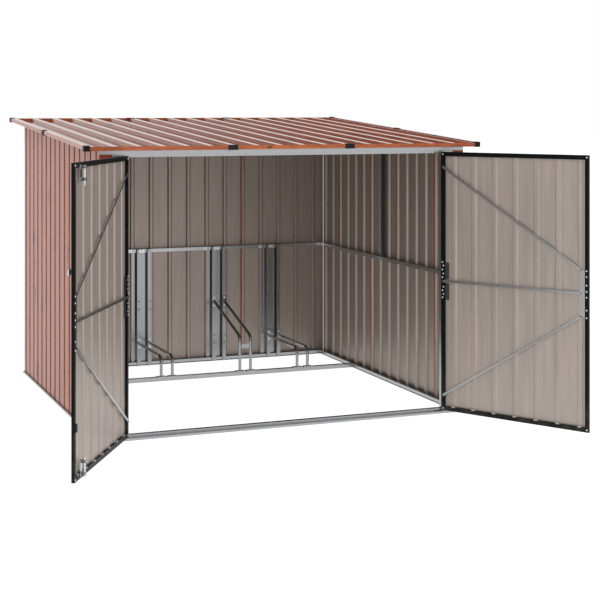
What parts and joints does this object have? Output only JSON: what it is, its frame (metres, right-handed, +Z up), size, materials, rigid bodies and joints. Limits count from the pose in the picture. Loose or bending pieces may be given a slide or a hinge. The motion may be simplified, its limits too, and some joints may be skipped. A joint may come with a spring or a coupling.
{
  "type": "bike shelter",
  "caption": "Low walk-in steel shelter for bicycles: ribbed wood-look walls, a mono-pitch roof, double hinged doors and floor-to-wall wheel racks at staggered heights.",
  "frame": {"origin": "middle of the base frame's four anchor holes, on the ground", "axes": "+X right seen from the front, +Y towards the back wall, +Z up; the doorway faces -Y"},
  "size_m": [2.8712, 3.0408, 1.7192],
  "materials": {
    "wood_look_sheet": "satin wood-look coating outside, plain taupe inside",
    "wood_look_trim": "satin wood-look coating",
    "clip_plastic": "matte black",
    "door_sheet": "plain taupe inside, wood-look outside",
    "door_frame_paint": "black powder coat",
    "dark_fittings": "dark grey coat",
    "bolt_steel": "bright zinc",
    "zinc_steel": "galvanised"
  },
  "bodies": {
    "shelter": {"front_sill": "zinc_steel", "left_base_track": "zinc_steel", "right_base_track": "zinc_steel", "back_base_track": "zinc_steel", "rack_floor_rail": "zinc_steel", "left_wall": "wood_look_sheet", "right_wall": "wood_look_sheet", "back_wall": "wood_look_sheet", "front_left_return": "wood_look_sheet", "front_right_return": "wood_look_sheet", "left_hinge_post": "zinc_steel", "right_hinge_post": "zinc_steel", "side_stub_posts": "zinc_steel", "left_mid_rail": "zinc_steel", "right_mid_rail": "zinc_steel", "back_mid_rail": "zinc_steel", "door_header": "zinc_steel", "left_top_rail": "zinc_steel", "right_top_rail": "zinc_steel", "back_top_rail": "zinc_steel", "roof_purlin": "zinc_steel", "roof_sheet": "wood_look_sheet", "front_roof_trim": "wood_look_trim", "back_roof_trim": "wood_look_trim", "left_roof_trim": "wood_look_trim", "right_roof_trim": "wood_look_trim", "roof_trim_clips": "clip_plastic", "rack_posts": "zinc_steel", "outer_left_rack": "zinc_steel", "inner_left_rack": "zinc_steel", "inner_right_rack": "zinc_steel", "outer_right_rack": "zinc_steel", "post_hinge_leaves": "dark_fittings"},
    "left_door": {"left_door_frame": "door_frame_paint", "left_door_panel": "door_sheet", "left_door_braces": "zinc_steel", "left_door_fittings": "dark_fittings", "left_bolt_guides": "zinc_steel"},
    "right_door": {"right_door_frame": "door_frame_paint", "right_door_panel": "door_sheet", "right_door_braces": "zinc_steel", "right_door_fittings": "dark_fittings"},
    "top_bolt": {"top_drop_bolt": "bolt_steel"},
    "bottom_bolt": {"bottom_drop_bolt": "bolt_steel"}
  },
  "joints": [
    {"name": "left_door_hinge", "type": "hinge", "parent": "shelter", "child": "left_door", "pos_m": [-0.953, -1.0885, 0.778], "axis": [0, 0, -1], "range_deg": [-120, 55]},
    {"name": "right_door_hinge", "type": "hinge", "parent": "shelter", "child": "right_door", "pos_m": [0.953, -1.0885, 0.778], "axis": [0, 0, 1], "range_deg": [-120, 55]},
    {"name": "top_bolt_slide", "type": "slide", "parent": "left_door", "child": "top_bolt", "axis": [0, 0, 1], "range_m": [0, 0.018]},
    {"name": "bottom_bolt_slide", "type": "slide", "parent": "left_door", "child": "bottom_bolt", "axis": [0, 0, -1], "range_m": [0, 0.03]}
  ]
}
